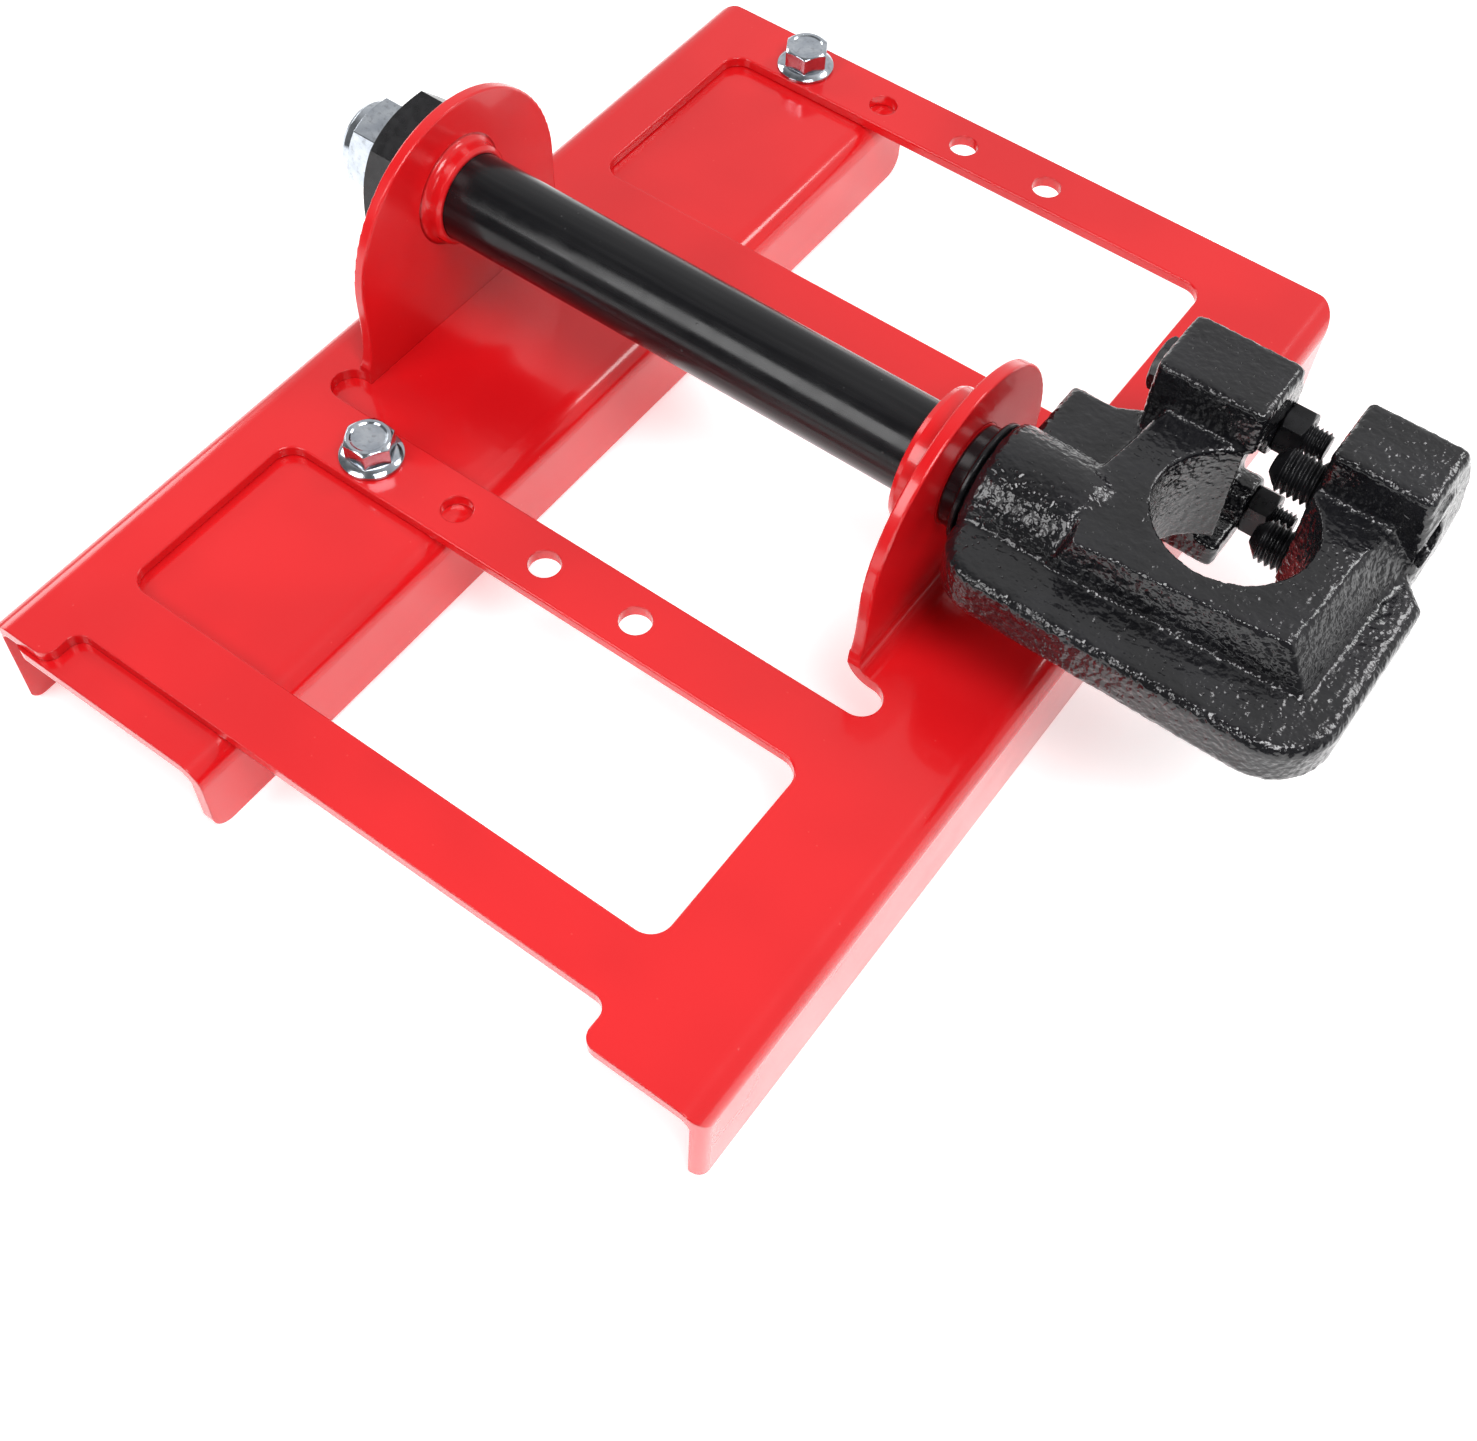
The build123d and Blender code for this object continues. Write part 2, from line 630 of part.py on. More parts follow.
def set_screw(tip_x, y, z):
    """Socket set screw through the right lug; its cone point faces the clamp bolts."""
    body = turned([
        (0, 0),
        (SET_SCREW_POINT_R, 0),
        (M12_R, M12_R - SET_SCREW_POINT_R),
        (M12_R, SET_SCREW_LENGTH - 1.0),
        (M12_R - 1.0, SET_SCREW_LENGTH),
        (0, SET_SCREW_LENGTH),
    ])
    socket = RegularPolygon(SET_SCREW_SOCKET / 2, 6, major_radius=False)
    floor = SET_SCREW_LENGTH - SET_SCREW_SOCKET_DEPTH
    body -= Pos(0, 0, floor) * extrude(socket, SET_SCREW_SOCKET_DEPTH + 1)
    return along_x(body, tip_x, y, z)


def flange_hexagon():
    """Hexagon with a conical flange on Z = 0, used for the width bolts and nuts."""
    corner_r = M8_AF / math.sqrt(3)
    skirt = turned([
        (0, 0),
        (FLANGE_R - 0.4, 0),
        (FLANGE_R, 0.4),
        (FLANGE_R, FLANGE_RIM),
        (corner_r - 0.6, FLANGE_RIM + 1.0),
        (0, FLANGE_RIM + 1.0),
    ])
    return skirt + hexagon(M8_AF, FLANGE_HEAD)


def width_bolt(y):
    """Flange bolt down through the web and the guide plate."""
    shank = Pos(0, 0, -WIDTH_BOLT_LENGTH) * turned(bar_points(M8_R, WIDTH_BOLT_LENGTH + 1, 0.8))
    return Pos(FIRST_HOLE_X, y, WEB_TOP) * (flange_hexagon() + shank)


def width_nut(y):
    """Flange nut under the guide plate."""
    bore = Pos(0, 0, -1) * turned(bar_points(M8_R + FIT, FLANGE_HEAD + 2))
    nut = flange_hexagon() - bore
    return Pos(FIRST_HOLE_X, y, GUIDE_TOP - SHEET) * Rot(180, 0, 0) * nut


def hub_grub_screw():
    """Socket grub screw from under the hub into the shaft's dimple."""
    length = GRUB_Z[1] - GRUB_Z[0]
    body = turned(bar_points(GRUB_R, length, 0.6))
    body -= extrude(RegularPolygon(2, 6, major_radius=False), 3)
    return Pos(GRUB_X, AXIS_Y, GRUB_Z[0]) * body


def build_nodes():
    """Every piece of the guide, by name."""
    nodes = {
        "main_bracket": main_bracket(),
        "guide_plate": guide_plate(),
        "left_bush": left_bush(),
        "right_bush": right_bush(),
        "pivot_shaft": pivot_shaft(),
        "thrust_washer": thrust_washer(),
        "pivot_jam_nut": pivot_jam_nut(),
        "pivot_lock_nut": pivot_lock_nut(),
        "lock_nut_insert": lock_nut_insert(),
        "clamp_body": clamp_body(),
        "hub_grub_screw": hub_grub_screw(),
    }
    for place in ("upper", "lower"):
        y, z = CLAMP_BOLTS[place]
        nodes["clamp_bolt_" + place] = clamp_bolt(y, z)
        nodes["clamp_jam_nut_" + place] = clamp_jam_nut(y, z)
        y, z = SET_SCREWS[place]
        nodes["set_screw_" + place] = set_screw(SET_SCREW_TIP_X[place], y, z)
    for place, y in zip(("front", "rear"), HOLE_ROWS_Y):
        nodes["width_bolt_" + place] = width_bolt(y)
        nodes["width_nut_" + place] = width_nut(y)
    return nodes


os.makedirs("parts", exist_ok=True)
for name, shape in build_nodes().items():
    export_step(shape, "parts/" + name + ".step")
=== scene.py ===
import json
import math

import bmesh
import bpy
from mathutils import Matrix, Vector, noise


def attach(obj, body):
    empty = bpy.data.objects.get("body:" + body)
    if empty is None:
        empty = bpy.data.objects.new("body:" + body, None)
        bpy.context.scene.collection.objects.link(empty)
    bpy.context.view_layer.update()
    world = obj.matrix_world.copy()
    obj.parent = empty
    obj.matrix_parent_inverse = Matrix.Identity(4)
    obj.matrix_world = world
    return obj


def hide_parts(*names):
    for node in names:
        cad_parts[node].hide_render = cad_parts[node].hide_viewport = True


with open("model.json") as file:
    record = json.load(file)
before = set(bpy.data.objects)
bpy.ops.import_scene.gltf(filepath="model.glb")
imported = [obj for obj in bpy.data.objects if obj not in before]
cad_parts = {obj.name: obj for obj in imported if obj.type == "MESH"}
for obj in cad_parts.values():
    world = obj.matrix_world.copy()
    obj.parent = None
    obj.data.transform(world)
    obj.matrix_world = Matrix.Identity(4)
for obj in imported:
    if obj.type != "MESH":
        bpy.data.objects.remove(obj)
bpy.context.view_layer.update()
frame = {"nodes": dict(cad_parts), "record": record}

# Lengths are metres. MM turns the shop's millimetres into metres.
MM = 0.001

# ---------------------------------------------------------------- camera, floor and light

CAMERA_PLACE = Vector((0.19568, -0.28141, 0.43461))
CAMERA_FORWARD = Vector((-0.2931, 0.4529, -0.8420))
CAMERA_UP = Vector((-0.5110, 0.6702, 0.5384))
CAMERA_LENS_MM = 46.385
SENSOR_MM = 36.0

# Surroundings from the front (dark) to the rear (bright), glow of the light table, and the
# soft boxes: name, place, target, size, power
WORLD_STRENGTH = (0.18, 0.72)
FLOOR_GLOW = 0.52
LIGHTS = (
    ("key", (0.45, -0.25, 1.00), (0, 0, 0), 0.45, 7.6),
    ("front", (-0.35, -0.80, 0.78), (0, 0, 0.05), 0.50, 4.8),
    ("left", (-0.90, 0.10, 0.45), (0, 0, 0.05), 0.35, 1.8),
    ("rear", (0.42, 0.72, 0.88), (0.14, 0, 0.08), 0.28, 2.2),
)


def add_camera():
    """The camera at the viewing angle of the reference."""
    data = bpy.data.cameras.new("view")
    data.sensor_fit = "HORIZONTAL"
    data.sensor_width = SENSOR_MM
    data.lens = CAMERA_LENS_MM
    data.clip_start = 0.01
    camera = bpy.data.objects.new("view", data)
    forward = CAMERA_FORWARD.normalized()
    right = forward.cross(CAMERA_UP).normalized()
    up = right.cross(forward)
    turn = Matrix((right, up, -forward)).transposed()
    camera.matrix_world = Matrix.Translation(CAMERA_PLACE) @ turn.to_4x4()
    bpy.context.scene.collection.objects.link(camera)
    bpy.context.scene.camera = camera


def add_area_light(name, place, target, size, power):
    """A square soft box that faces its target."""
    data = bpy.data.lights.new(name, "AREA")
    data.shape = "SQUARE"
    data.size = size
    data.energy = power
    light = bpy.data.objects.new(name, data)
    aim = (Vector(target) - Vector(place)).to_track_quat("-Z", "Y")
    light.matrix_world = Matrix.Translation(place) @ aim.to_matrix().to_4x4()
    bpy.context.scene.collection.objects.link(light)


def add_world(strength):
    """Neutral surroundings, dark in front and pale behind."""
    world = bpy.data.worlds.new("studio")
    world.use_nodes = True
    nodes = world.node_tree.nodes
    links = world.node_tree.links
    direction = nodes.new("ShaderNodeTexCoord").outputs["Generated"]
    split = nodes.new("ShaderNodeSeparateXYZ")
    links.new(direction, split.inputs["Vector"])
    grade = nodes.new("ShaderNodeMapRange")
    grade.interpolation_type = "SMOOTHSTEP"
    links.new(split.outputs["Y"], grade.inputs["Value"])
    for key, number in (("From Min", -0.35), ("From Max", 0.55),
                        ("To Min", strength[0]), ("To Max", strength[1])):
        grade.inputs[key].default_value = number
    background = nodes["Background"]
    background.inputs["Color"].default_value = (1.0, 1.0, 1.0, 1.0)
    links.new(grade.outputs["Result"], background.inputs["Strength"])
    bpy.context.scene.world = world


# ---------------------------------------------------------------- materials

class Shader:
    """A Principled material under construction, in object coordinates."""

    def __init__(self, name):
        self.material = bpy.data.materials.new(name)
        self.material.use_nodes = True
        self.nodes = self.material.node_tree.nodes
        self.links = self.material.node_tree.links
        self.surface = self.nodes["Principled BSDF"]
        self.coords = self.nodes.new("ShaderNodeTexCoord").outputs["Object"]

    def add(self, kind, **settings):
        """A node with its properties set and its inputs given as values or links."""
        node = self.nodes.new(kind)
        for key, value in settings.items():
            if key in node.inputs:
                self.feed(node.inputs[key], value)
            elif key.startswith("in") and key[2:].isdigit():
                self.feed(node.inputs[int(key[2:])], value)
            else:
                setattr(node, key, value)
        return node

    def feed(self, socket, value):
        """Set a socket to a value, or link it if the value is an output."""
        if isinstance(value, bpy.types.NodeSocket):
            self.links.new(value, socket)
        else:
            socket.default_value = value

    def set(self, **values):
        """Set inputs of the Principled shader; underscores stand for spaces."""
        for key, value in values.items():
            self.feed(self.surface.inputs[key.replace("_", " ")], value)

    def noise(self, size, detail=3.0, roughness=0.5, stretch=None, distortion=0.0):
        """Noise whose features are about size metres across."""
        vector = self.coords
        if stretch:
            vector = self.add("ShaderNodeMapping", Vector=vector, Scale=stretch).outputs["Vector"]
        node = self.add(
            "ShaderNodeTexNoise", Vector=vector, Scale=1.0 / size, Detail=detail,
            Roughness=roughness, Distortion=distortion,
        )
        return node.outputs["Fac"]

    def cells(self, size, feature="F1", randomness=1.0):
        """Distance in cells about size metres across."""
        node = self.add(
            "ShaderNodeTexVoronoi", Vector=self.coords, Scale=1.0 / size, Randomness=randomness,
            feature=feature,
        )
        return node.outputs["Distance"]

    def ramp(self, value, low, high, out_low=0.0, out_high=1.0):
        """Map low..high to out_low..out_high, clamped and smooth."""
        node = self.add("ShaderNodeMapRange", interpolation_type="SMOOTHSTEP", Value=value)
        for key, number in (("From Min", low), ("From Max", high),
                            ("To Min", out_low), ("To Max", out_high)):
            node.inputs[key].default_value = number
        return node.outputs["Result"]

    def math(self, operation, a, b=0.0):
        node = self.add("ShaderNodeMath", operation=operation, in0=a, in1=b)
        return node.outputs["Value"]

    def mix(self, factor, colour_a, colour_b):
        """Blend of two colours."""
        node = self.add("ShaderNodeMix", data_type="RGBA")
        self.feed(node.inputs["Factor"], factor)
        for socket, value in ((node.inputs[6], colour_a), (node.inputs[7], colour_b)):
            self.feed(socket, value)
        return node.outputs[2]

    def soft_edges(self, radius):
        """Shading normal that rounds every edge by radius."""
        return self.add("ShaderNodeBevel", samples=6, Radius=radius).outputs["Normal"]

    def bump(self, height, distance, strength=1.0, normal=None):
        node = self.add("ShaderNodeBump", Height=height, Distance=distance, Strength=strength)
        if normal is not None:
            self.feed(node.inputs["Normal"], normal)
        return node.outputs["Normal"]

    def edge_mask(self, radius):
        """1 on edges, 0 on flats: how far the rounded normal leaves the real one."""
        rounded = self.soft_edges(radius)
        real = self.add("ShaderNodeNewGeometry").outputs["Normal"]
        dot = self.add("ShaderNodeVectorMath", operation="DOT_PRODUCT", in0=rounded, in1=real)
        return self.ramp(self.math("SUBTRACT", 1.0, dot.outputs["Value"]), 0.01, 0.25)

    def height_of_normal(self):
        """Upward part of the piece's own normal: 1 on its level tops, at any pose."""
        normal = self.add("ShaderNodeTexCoord").outputs["Normal"]
        return self.add("ShaderNodeSeparateXYZ", Vector=normal).outputs["Z"]


def rgba(red, green, blue):
    return (red, green, blue, 1.0)


def red_powder_coat():
    """Glossy red powder coat: orange peel, dust nibs, thinner paint on edges."""
    s = Shader("red_powder_coat")
    cloud = s.noise(60 * MM, detail=2)
    base = s.mix(s.ramp(cloud, 0.35, 0.65), rgba(0.62, 0.006, 0.009), rgba(0.70, 0.009, 0.012))
    edge = s.edge_mask(0.7 * MM)
    worn = s.math("MULTIPLY", edge, s.ramp(s.noise(3 * MM), 0.45, 0.7, 0.0, 0.5))
    base = s.mix(worn, base, rgba(0.80, 0.05, 0.045))
    nibs = s.ramp(s.cells(7 * MM), 0.025, 0.05, 1.0, 0.0)
    base = s.mix(s.math("MULTIPLY", nibs, 0.3), base, rgba(0.80, 0.07, 0.06))
    peel = s.noise(1.8 * MM, detail=2, roughness=0.4)
    swell = s.noise(14 * MM, detail=1)
    normal = s.bump(swell, 0.12 * MM, 0.5, s.soft_edges(0.7 * MM))
    normal = s.bump(peel, 0.016 * MM, 0.6, normal)
    normal = s.bump(nibs, 0.05 * MM, 0.5, normal)
    smudge = s.ramp(s.noise(22 * MM, detail=4, roughness=0.6), 0.3, 0.75, 0.16, 0.25)
    s.set(Base_Color=base, Roughness=smudge, Normal=normal, Specular_IOR_Level=0.4)
    s.set(Coat_Weight=0.4, Coat_Roughness=0.06)
    return s.material


def black_cast_paint():
    """Black gloss paint over a rough sand casting: pebbles and pits, with painted shade in the
    pits and a painted highlight on the ridges.
    """
    s = Shader("black_cast_paint")
    grain = s.noise(1.5 * MM, detail=1, roughness=0.4)
    ripple = s.noise(2.6 * MM, detail=1, stretch=(1.0, 1.6, 1.0), distortion=0.4)
    pits = s.ramp(s.cells(2.2 * MM), 0.06, 0.18, 1.0, 0.0)
    tone = s.ramp(s.noise(14 * MM, detail=3), 0.3, 0.7)
    base = s.mix(tone, rgba(0.004, 0.004, 0.005), rgba(0.009, 0.009, 0.011))
    # Pits darkened in colour: painted shade in the hollows.
    base = s.mix(s.math("MULTIPLY", pits, 0.5), base, rgba(0.002, 0.002, 0.002))
    # Ridges and edges lightened in colour: a painted highlight that stands in for the glint along
    # them.
    lighter_edges = s.math("MULTIPLY", s.edge_mask(0.8 * MM), s.ramp(s.noise(2 * MM), 0.5, 0.7, 0.0, 0.5))
    base = s.mix(lighter_edges, base, rgba(0.05, 0.05, 0.052))
    normal = s.bump(grain, 0.50 * MM, s.ramp(s.height_of_normal(), 0.90, 0.99, 1.0, 0.55))
    normal = s.bump(ripple, 0.25 * MM, 0.7, normal)
    normal = s.bump(s.math("SUBTRACT", 1.0, pits), 0.14 * MM, 0.8, normal)
    gloss = s.ramp(s.noise(3.5 * MM, detail=3), 0.3, 0.7, 0.10, 0.20)
    s.set(Base_Color=base, Roughness=gloss, Normal=normal, Specular_IOR_Level=0.5)
    s.set(Coat_Weight=0.2, Coat_Roughness=0.08)
    return s.material


def black_shaft():
    """Satin black shaft: turning marks along it, dust and small nicks."""
    s = Shader("black_shaft")
    streak = s.noise(2.2 * MM, detail=3, stretch=(0.04, 1.0, 1.0))
    turning = s.noise(0.35 * MM, detail=1, stretch=(1.0, 0.03, 0.03))
    nicks = s.ramp(s.cells(6 * MM), 0.03, 0.07, 1.0, 0.0)
    base = s.mix(s.ramp(streak, 0.35, 0.7), rgba(0.004, 0.004, 0.005), rgba(0.010, 0.010, 0.011))
    base = s.mix(s.math("MULTIPLY", nicks, 0.3), base, rgba(0.08, 0.08, 0.08))
    normal = s.bump(turning, 0.012 * MM, 0.5, s.soft_edges(0.4 * MM))
    normal = s.bump(nicks, 0.04 * MM, 0.5, normal)
    rough = s.ramp(s.noise(7 * MM, detail=4), 0.3, 0.7, 0.15, 0.24)
    s.set(Base_Color=base, Roughness=rough, Normal=normal, Specular_IOR_Level=0.30)
    return s.material


def black_oxide():
    """Oiled black oxide on machined steel, rubbed brighter on its edges."""
    s = Shader("black_oxide")
    tone = s.noise(4 * MM, detail=4)
    base = s.mix(s.ramp(tone, 0.3, 0.7), rgba(0.006, 0.006, 0.007), rgba(0.014, 0.014, 0.016))
    lighter_edges = s.math("MULTIPLY", s.edge_mask(0.3 * MM), s.ramp(s.noise(1.5 * MM), 0.4, 0.65, 0.1, 0.6))
    base = s.mix(lighter_edges, base, rgba(0.06, 0.06, 0.065))
    normal = s.bump(s.noise(0.5 * MM, detail=2), 0.012 * MM, 0.5, s.soft_edges(0.2 * MM))
    rough = s.ramp(s.noise(2.5 * MM, detail=3), 0.3, 0.7, 0.22, 0.38)
    s.set(Base_Color=base, Roughness=rough, Normal=normal, Metallic=0.25)
    return s.material


def zinc_plate():
    """Bright bluish zinc plate with faint forging marks and duller patches."""
    s = Shader("zinc_plate")
    patch = s.noise(5 * MM, detail=3)
    base = s.mix(s.ramp(patch, 0.3, 0.7), rgba(0.44, 0.48, 0.54), rgba(0.62, 0.66, 0.71))
    dull = s.ramp(s.noise(1.3 * MM, detail=4), 0.52, 0.72)
    base = s.mix(s.math("MULTIPLY", dull, 0.4), base, rgba(0.24, 0.25, 0.27))
    normal = s.bump(s.noise(0.9 * MM, detail=2), 0.03 * MM, 0.6, s.soft_edges(0.3 * MM))
    rough = s.ramp(patch, 0.3, 0.75, 0.09, 0.20)
    s.set(Base_Color=base, Roughness=rough, Normal=normal, Metallic=1.0)
    return s.material


def nylon():
    """Natural nylon, slightly waxy."""
    s = Shader("nylon")
    tone = s.noise(3 * MM, detail=3)
    base = s.mix(s.ramp(tone, 0.3, 0.7), rgba(0.68, 0.70, 0.68), rgba(0.76, 0.77, 0.74))
    normal = s.bump(s.noise(0.6 * MM, detail=2), 0.02 * MM, 0.5, s.soft_edges(0.2 * MM))
    rough = s.ramp(tone, 0.3, 0.7, 0.38, 0.5)
    s.set(Base_Color=base, Roughness=rough, Normal=normal)
    s.set(Subsurface_Weight=0.15, Subsurface_Scale=1.0 * MM)
    return s.material


def studio_floor():
    """White light table: an almost even floor that glows a little."""
    s = Shader("studio_floor")
    tone = s.noise(0.4, detail=2)
    s.set(Base_Color=s.mix(tone, rgba(0.90, 0.90, 0.90), rgba(0.93, 0.93, 0.93)), Roughness=0.9)
    s.set(Emission_Color=rgba(1.0, 1.0, 1.0), Emission_Strength=FLOOR_GLOW)
    return s.material


# ---------------------------------------------------------------- meshes

def new_object(name, bm, material, smooth=True):
    """Turn a bmesh into a linked object with one material."""
    mesh = bpy.data.meshes.new(name)
    bm.to_mesh(mesh)
    bm.free()
    for polygon in mesh.polygons:
        polygon.use_smooth = smooth
    mesh.materials.append(material)
    piece = bpy.data.objects.new(name, mesh)
    bpy.context.scene.collection.objects.link(piece)
    return piece


AXES = {
    "x": Matrix(((0, 0, 1), (1, 0, 0), (0, 1, 0))),
    "z": Matrix(((1, 0, 0), (0, 1, 0), (0, 0, 1))),
}


def sweep(bm, rows, segments, centre, axis, closed=False):
    """Add a surface round an axis, from rows of (distance, radius).

    Distances run along the axis from the frame's zero; angles start at +Y on the X axis and at
    +X on the Z axis. A radius is a number or a function of the angle."""
    frame_axes = AXES[axis]
    centre = Vector(centre)
    rings = []
    for distance, radius in rows:
        if radius == 0:
            rings.append([bm.verts.new(centre + frame_axes @ Vector((0, 0, distance)))])
            continue
        ring = []
        for k in range(segments):
            angle = 2 * math.pi * k / segments
            r = radius(angle) if callable(radius) else radius
            point = Vector((r * math.cos(angle), r * math.sin(angle), distance))
            ring.append(bm.verts.new(centre + frame_axes @ point))
        rings.append(ring)
    if closed:
        rings.append(rings[0])
    for low, high in zip(rings, rings[1:]):
        for k in range(segments):
            n = (k + 1) % segments
            corners = [low[k % len(low)], low[n % len(low)]]
            corners += [high[n % len(high)], high[k % len(high)]]
            bm.faces.new(list(dict.fromkeys(corners)))


def hexagon_outline(across_flats, turn, limit=1.0):
    """Radius of a hexagon as a function of the angle, cut off at a limit."""
    flat = across_flats / 2
    corner = flat / math.cos(math.radians(30)) - 0.06 * MM

    def radius(angle):
        wedge = (angle - turn) % (math.pi / 3) - math.pi / 6
        return min(flat / math.cos(wedge), corner, limit)
    return radius


def hexagon_rows(across_flats, low, high, turn, cut_low=True, cut_high=True):
    """Rows of a hexagon bar between two heights, its ends turned off at 30 degrees."""
    corner = across_flats / math.sqrt(3)
    face_r = 0.48 * across_flats
    rise = (corner - face_r) * math.tan(math.radians(30))
    shares = [k / 6 for k in range(7)]
    rows = []
    for share in shares if cut_low else [1.0]:
        limit = face_r + (corner - face_r) * share
        rows.append((low + rise * share * cut_low, hexagon_outline(across_flats, turn, limit)))
    for share in reversed(shares) if cut_high else [1.0]:
        limit = face_r + (corner - face_r) * share
        rows.append((high - rise * share * cut_high, hexagon_outline(across_flats, turn, limit)))
    return rows


def thread_rows(major, pitch, low, high, low_r, high_r):
    """Rows of a helical V thread, run out at 45 degrees to a radius at each end."""
    count = round((high - low) / (pitch / 10))
    rows = []
    for k in range(count + 1):
        at = low + (high - low) * k / count
        limit = min(major, low_r + at - low, high_r + high - at)

        def radius(angle, at=at, limit=limit):
            phase = (at / pitch - angle / (2 * math.pi)) % 1.0
            valley = min(1.0, max(0.0, (abs(2 * phase - 1) - 0.12) / 0.70))
            return min(limit, major - 0.61 * pitch * valley)
        rows.append((at, radius))
    return rows


def build(name, node, material, solids):
    """Make one object from swept solids; it stands for a CAD node and moves with it."""
    bm = bmesh.new()
    for solid in solids:
        sweep(bm, **solid)
    bmesh.ops.recalc_face_normals(bm, faces=bm.faces)
    piece = new_object(name, bm, material)
    piece.data.set_sharp_from_angle(angle=math.radians(30))
    stand_for(piece, node)
    return piece


def stand_for(piece, node):
    """Let a piece replace a CAD node: it rides the same body, and the node is hidden."""
    bodies = frame["record"]["behaviour"]["bodies"]
    body = next(name for name, nodes in bodies.items() if node in nodes)
    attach(piece, body)
    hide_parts(node)


def node_box(node):
    """Lowest and highest corner of a CAD node."""
    part = frame["nodes"][node]
    points = [part.matrix_world @ Vector(corner) for corner in part.bound_box]
    low = Vector([min(p[k] for p in points) for k in range(3)])
    high = Vector([max(p[k] for p in points) for k in range(3)])
    return low, high


# ---------------------------------------------------------------- fasteners

HEX_AF = 12.7 * MM
M8_R = 4 * MM
M8_END_R = 3.2 * MM
NUT_BORE_R = 3.98 * MM
FLANGE_CONE_R = 7.4 * MM
FLANGE_LIP = 0.3 * MM
CLAMP_HEAD_HEIGHT = 5.3 * MM
M8_PITCH = 1.25 * MM
M12_PITCH = 1.75 * MM
M16_PITCH = 2.0 * MM
SEGMENTS = 72


def clamp_bolt(place, material):
    """Hexagon bolt of the clamp with a part-threaded shank."""
    node = "clamp_bolt_" + place
    low, high = node_box(node)
    centre = (0, (low.y + high.y) / 2, (low.z + high.z) / 2)
    head_end = low.x + CLAMP_HEAD_HEIGHT
    plain_end = head_end + 14 * MM
    rows = [(low.x, 0)]
    rows += hexagon_rows(HEX_AF, low.x, head_end, math.radians(45))
    rows += [(head_end, M8_R), (plain_end, M8_R)]
    rows += thread_rows(M8_R, M8_PITCH, plain_end, high.x, M8_R, M8_END_R)
    rows += [(high.x, 0)]
    solid = dict(rows=rows, segments=SEGMENTS, centre=centre, axis="x")
    build("bolt_" + place, node, material, [solid])


def nut_rows(across_flats, low, high, turn, bore):
    """Rows of a plain nut, closed on themselves."""
    lead = 0.45 * MM
    rows = hexagon_rows(across_flats, low, high, turn)
    rows += [(high, bore + lead), (high - lead, bore), (low + lead, bore), (low, bore + lead)]
    return rows


def clamp_jam_nut(place, material):
    node = "clamp_jam_nut_" + place
    low, high = node_box(node)
    centre = (0, (low.y + high.y) / 2, (low.z + high.z) / 2)
    rows = nut_rows(HEX_AF, low.x, high.x, math.radians(15), NUT_BORE_R)
    solid = dict(rows=rows, segments=SEGMENTS, centre=centre, axis="x", closed=True)
    build("jam_nut_" + place, node, material, [solid])


def set_screw(place, material):
    """Socket set screw with a cone point and a thread along its whole length."""
    node = "set_screw_" + place
    low, high = node_box(node)
    centre = (0, (low.y + high.y) / 2, (low.z + high.z) / 2)
    socket = hexagon_outline(6 * MM, 0)
    floor = high.x - 7 * MM
    rows = [(low.x, 0)]
    rows += thread_rows(6 * MM, M12_PITCH, low.x, high.x, 2.6 * MM, 5 * MM)
    rows += [(high.x, socket), (floor, socket), (floor - 1.5 * MM, 0)]
    solid = dict(rows=rows, segments=SEGMENTS, centre=centre, axis="x")
    build("screw_" + place, node, material, [solid])


def width_bolt(place, material):
    """Flange bolt with a shallow dish in its head."""
    node = "width_bolt_" + place
    low, high = node_box(node)
    centre = ((low.x + high.x) / 2, (low.y + high.y) / 2, 0)
    seat = high.z - 8 * MM
    flange = (high.x - low.x) / 2
    rows = [(low.z, 0)]
    rows += thread_rows(M8_R, M8_PITCH, low.z, seat - 4 * MM, M8_END_R, M8_R)
    rows += [(seat - 4 * MM, M8_R), (seat, M8_R)]
    rows += [(seat, flange - FLANGE_LIP), (seat + FLANGE_LIP, flange)]
    rows += [(seat + 1.1 * MM, flange), (seat + 1.35 * MM, flange - FLANGE_LIP)]
    rows += [(seat + 2.2 * MM, FLANGE_CONE_R)]
    rows += hexagon_rows(HEX_AF, seat + 2.3 * MM, high.z, 0, cut_low=False)
    rows += [(high.z, 5.2 * MM), (high.z - 0.35 * MM, 4.7 * MM), (high.z - 0.35 * MM, 0)]
    solid = dict(rows=rows, segments=SEGMENTS, centre=centre, axis="z")
    build(node + "_threaded", node, material, [solid])


def width_nut(place, material):
    """Flange nut under the guide plate."""
    node = "width_nut_" + place
    low, high = node_box(node)
    centre = ((low.x + high.x) / 2, (low.y + high.y) / 2, 0)
    flange = (high.x - low.x) / 2
    bore = NUT_BORE_R
    rows = hexagon_rows(HEX_AF, low.z, high.z - 2.3 * MM, 0, cut_high=False)
    rows += [(high.z - 2.2 * MM, FLANGE_CONE_R), (high.z - 1.35 * MM, flange - FLANGE_LIP)]
    rows += [(high.z - 1.1 * MM, flange)]
    rows += [(high.z - FLANGE_LIP, flange), (high.z, flange - FLANGE_LIP)]
    rows += [(high.z, bore + 0.4 * MM), (high.z - 0.4 * MM, bore), (low.z + 0.4 * MM, bore)]
    rows += [(low.z, bore + 0.4 * MM)]
    solid = dict(rows=rows, segments=SEGMENTS, centre=centre, axis="z", closed=True)
    build(node + "_flanged", node, material, [solid])


AXIS = (0, 6 * MM, 73 * MM)
SHAFT_R = 12.5 * MM
SHOULDER_R = 13.7 * MM
BUSH_R = 14 * MM
ROUND_SEGMENTS = 96


